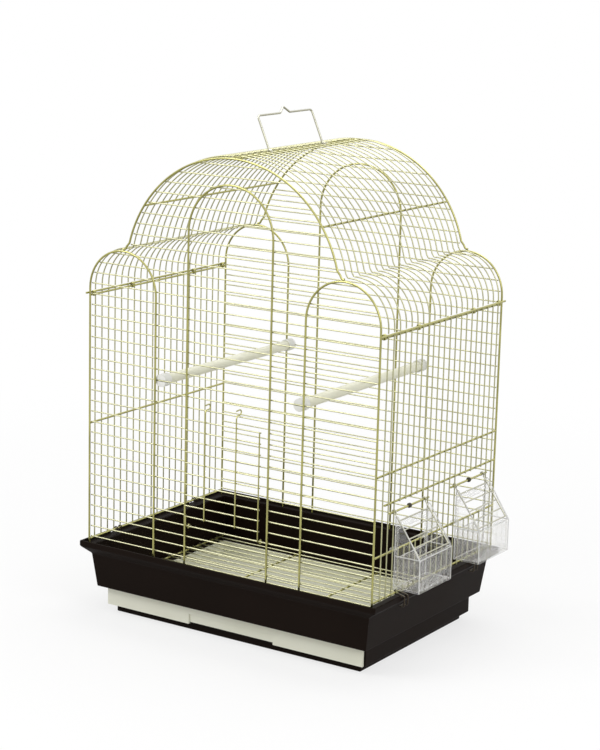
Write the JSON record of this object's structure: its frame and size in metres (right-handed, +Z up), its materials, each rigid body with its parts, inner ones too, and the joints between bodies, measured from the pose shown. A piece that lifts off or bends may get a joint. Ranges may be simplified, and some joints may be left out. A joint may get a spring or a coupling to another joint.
{
  "type": "bird cage",
  "caption": "Arched wire bird cage with a drop-down front door, perches, clear hooded feeders on one side, a carrying handle and a moulded base with a slide-out drawer",
  "frame": {"origin": "middle of the foot's underside, on the surface the cage stands on", "axes": "+Z up; the front with the door and the drawer faces -Y; the feeders hang on the +X wall"},
  "size_m": [0.4562, 0.296, 0.6277],
  "materials": {
    "plated_wire": "bright pale brass plating on drawn wire",
    "base_plastic": "satin near-black brown moulded plastic",
    "drawer_plastic": "satin pale cream moulded plastic",
    "cap_plastic": "white moulded plastic",
    "perch_wood": "smooth pale unvarnished dowel",
    "clear_plastic": "clear polished moulded plastic",
    "bead_plastic": "dark amber bead"
  },
  "bodies": {
    "cage": {"base_tray": "base_plastic", "floor_grille": "plated_wire", "front_frame": "plated_wire", "front_rows_lower": "plated_wire", "front_rows_left": "plated_wire", "front_rows_right": "plated_wire", "front_rows_upper": "plated_wire", "back_frame": "plated_wire", "back_rows": "plated_wire", "left_wall_bars": "plated_wire", "left_wall_wires": "plated_wire", "roof_bars_left": "plated_wire", "roof_wires_left": "plated_wire", "perch_left": "perch_wood", "perch_cap_left_front": "cap_plastic", "perch_cap_left_rear": "cap_plastic", "right_wall_bars": "plated_wire", "right_wall_wires": "plated_wire", "roof_bars_right": "plated_wire", "roof_wires_right": "plated_wire", "perch_right": "perch_wood", "perch_cap_right_front": "cap_plastic", "perch_cap_right_rear": "cap_plastic", "feeder_bar_upper": "plated_wire", "feeder_bar_lower": "plated_wire", "feeder_cup_front": "clear_plastic", "feeder_hinge_rod_front": "plated_wire", "feeder_bead_front": "bead_plastic", "feeder_cup_rear": "clear_plastic", "feeder_hinge_rod_rear": "plated_wire", "feeder_bead_rear": "bead_plastic"},
    "drawer_pan": {"drawer": "drawer_plastic"},
    "door": {"front_door": "plated_wire"},
    "hood_front": {"feeder_hood_front": "plated_wire"},
    "hood_rear": {"feeder_hood_rear": "plated_wire"},
    "handle": {"carry_handle": "plated_wire"},
    "clip_left_front": {"base_clip_left_front": "plated_wire"},
    "clip_left_rear": {"base_clip_left_rear": "plated_wire"},
    "clip_right_front": {"base_clip_right_front": "plated_wire"},
    "clip_right_rear": {"base_clip_right_rear": "plated_wire"}
  },
  "joints": [
    {"name": "drawer_slide", "type": "slide", "parent": "cage", "child": "drawer_pan", "axis": [0, -1, 0], "range_m": [0, 0.2]},
    {"name": "door_hinge", "type": "hinge", "parent": "cage", "child": "door", "pos_m": [0, -0.1379, 0.13671], "axis": [1, 0, 0], "range_deg": [0, 140]},
    {"name": "hood_front_hinge", "type": "hinge", "parent": "cage", "child": "hood_front", "pos_m": [0.203, -0.06364, 0.1918], "axis": [0, -1, 0], "range_deg": [0, 110]},
    {"name": "hood_rear_hinge", "type": "hinge", "parent": "cage", "child": "hood_rear", "pos_m": [0.203, 0.07636, 0.1918], "axis": [0, -1, 0], "range_deg": [0, 110]},
    {"name": "handle_hinge", "type": "hinge", "parent": "cage", "child": "handle", "pos_m": [-0.0045, 0, 0.57783], "axis": [0, 1, 0], "range_deg": [-64, 90]},
    {"name": "clip_left_front_hinge", "type": "hinge", "parent": "cage", "child": "clip_left_front", "pos_m": [-0.203, -0.08275, 0.094], "axis": [0, 1, 0], "range_deg": [0, 65]},
    {"name": "clip_left_rear_hinge", "type": "hinge", "parent": "cage", "child": "clip_left_rear", "pos_m": [-0.203, 0.08275, 0.094], "axis": [0, 1, 0], "range_deg": [0, 65]},
    {"name": "clip_right_front_hinge", "type": "hinge", "parent": "cage", "child": "clip_right_front", "pos_m": [0.203, -0.08275, 0.094], "axis": [0, -1, 0], "range_deg": [0, 50]},
    {"name": "clip_right_rear_hinge", "type": "hinge", "parent": "cage", "child": "clip_right_rear", "pos_m": [0.203, 0.08275, 0.094], "axis": [0, -1, 0], "range_deg": [0, 50]}
  ]
}
